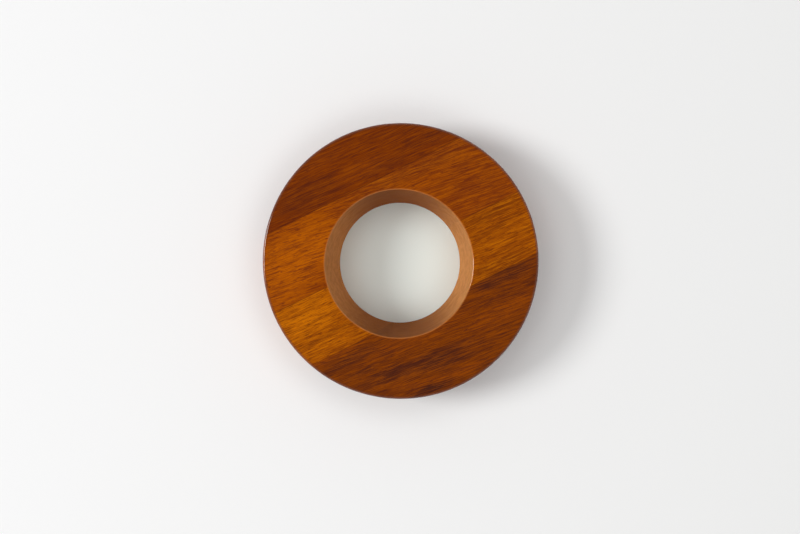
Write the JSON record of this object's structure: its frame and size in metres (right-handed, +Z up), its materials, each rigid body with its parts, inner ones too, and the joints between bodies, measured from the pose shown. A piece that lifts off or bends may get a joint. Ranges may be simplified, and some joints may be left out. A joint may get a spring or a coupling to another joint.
{
  "type": "wooden toss ring",
  "caption": "Thick flat toss ring turned from edge-glued hardwood staves, with rounded edges and a bore that flares upwards, thrown over a peg or hook.",
  "frame": {"origin": "centre of the round outer rim, on the foot plane that the ring lies on", "axes": "+Z up through the hole, from the foot to the wide mouth; +Y towards the back stave; the grain runs 26.5 degrees anticlockwise from +X"},
  "size_m": [0.1, 0.1, 0.025],
  "materials": {
    "back_board": "dark reddish-brown hardwood under clear gloss lacquer",
    "bridge_board": "red-orange hardwood under clear gloss lacquer",
    "middle_board": "golden-orange hardwood under clear gloss lacquer",
    "front_board": "dark-streaked brown hardwood under clear gloss lacquer"
  },
  "bodies": {
    "root": {"back_stave": "back_board", "bridge_stave": "bridge_board", "middle_stave_left": "middle_board", "middle_stave_right": "middle_board", "front_stave": "front_board"}
  },
  "joints": []
}
